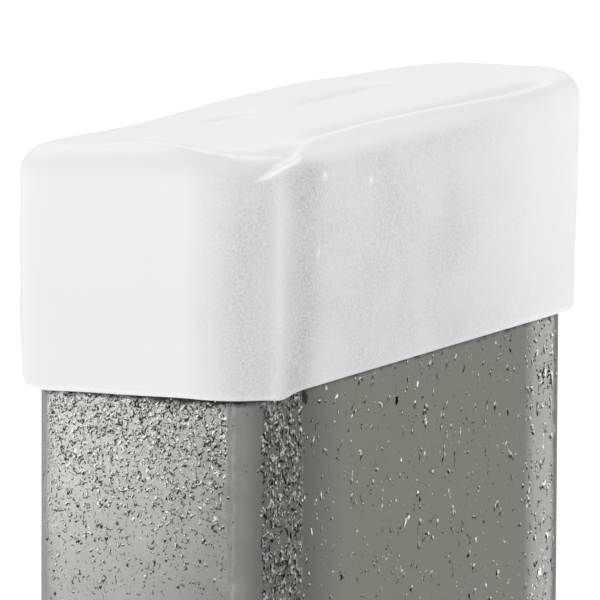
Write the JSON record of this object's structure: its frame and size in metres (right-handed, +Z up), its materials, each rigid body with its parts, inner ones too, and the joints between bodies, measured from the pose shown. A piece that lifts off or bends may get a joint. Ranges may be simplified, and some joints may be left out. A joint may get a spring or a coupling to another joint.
{
  "type": "capped rectangular steel tube end",
  "caption": "Cut end of a rectangular steel tube with round corners, closed by a soft white push-on vinyl cap that slides off along the tube.",
  "frame": {"origin": "centre of the tube's lower cut end, which the piece stands on", "axes": "+Z up along the tube towards the cap's closed end, X across the wide faces, Y across the narrow faces, the weld seam inside the +Y wide wall"},
  "size_m": [0.0794, 0.0286, 0.092],
  "materials": {
    "galvanised_steel": "grainy zinc-grey steel with fine pits, satin",
    "white_vinyl": "soft satin, slightly translucent"
  },
  "bodies": {
    "tube": {"tube": "galvanised_steel"},
    "cap": {"cap": "white_vinyl"}
  },
  "joints": [
    {"name": "cap_pull_off", "type": "slide", "parent": "tube", "child": "cap", "axis": [0, 0, 1], "range_m": [0, 0.04]}
  ]
}
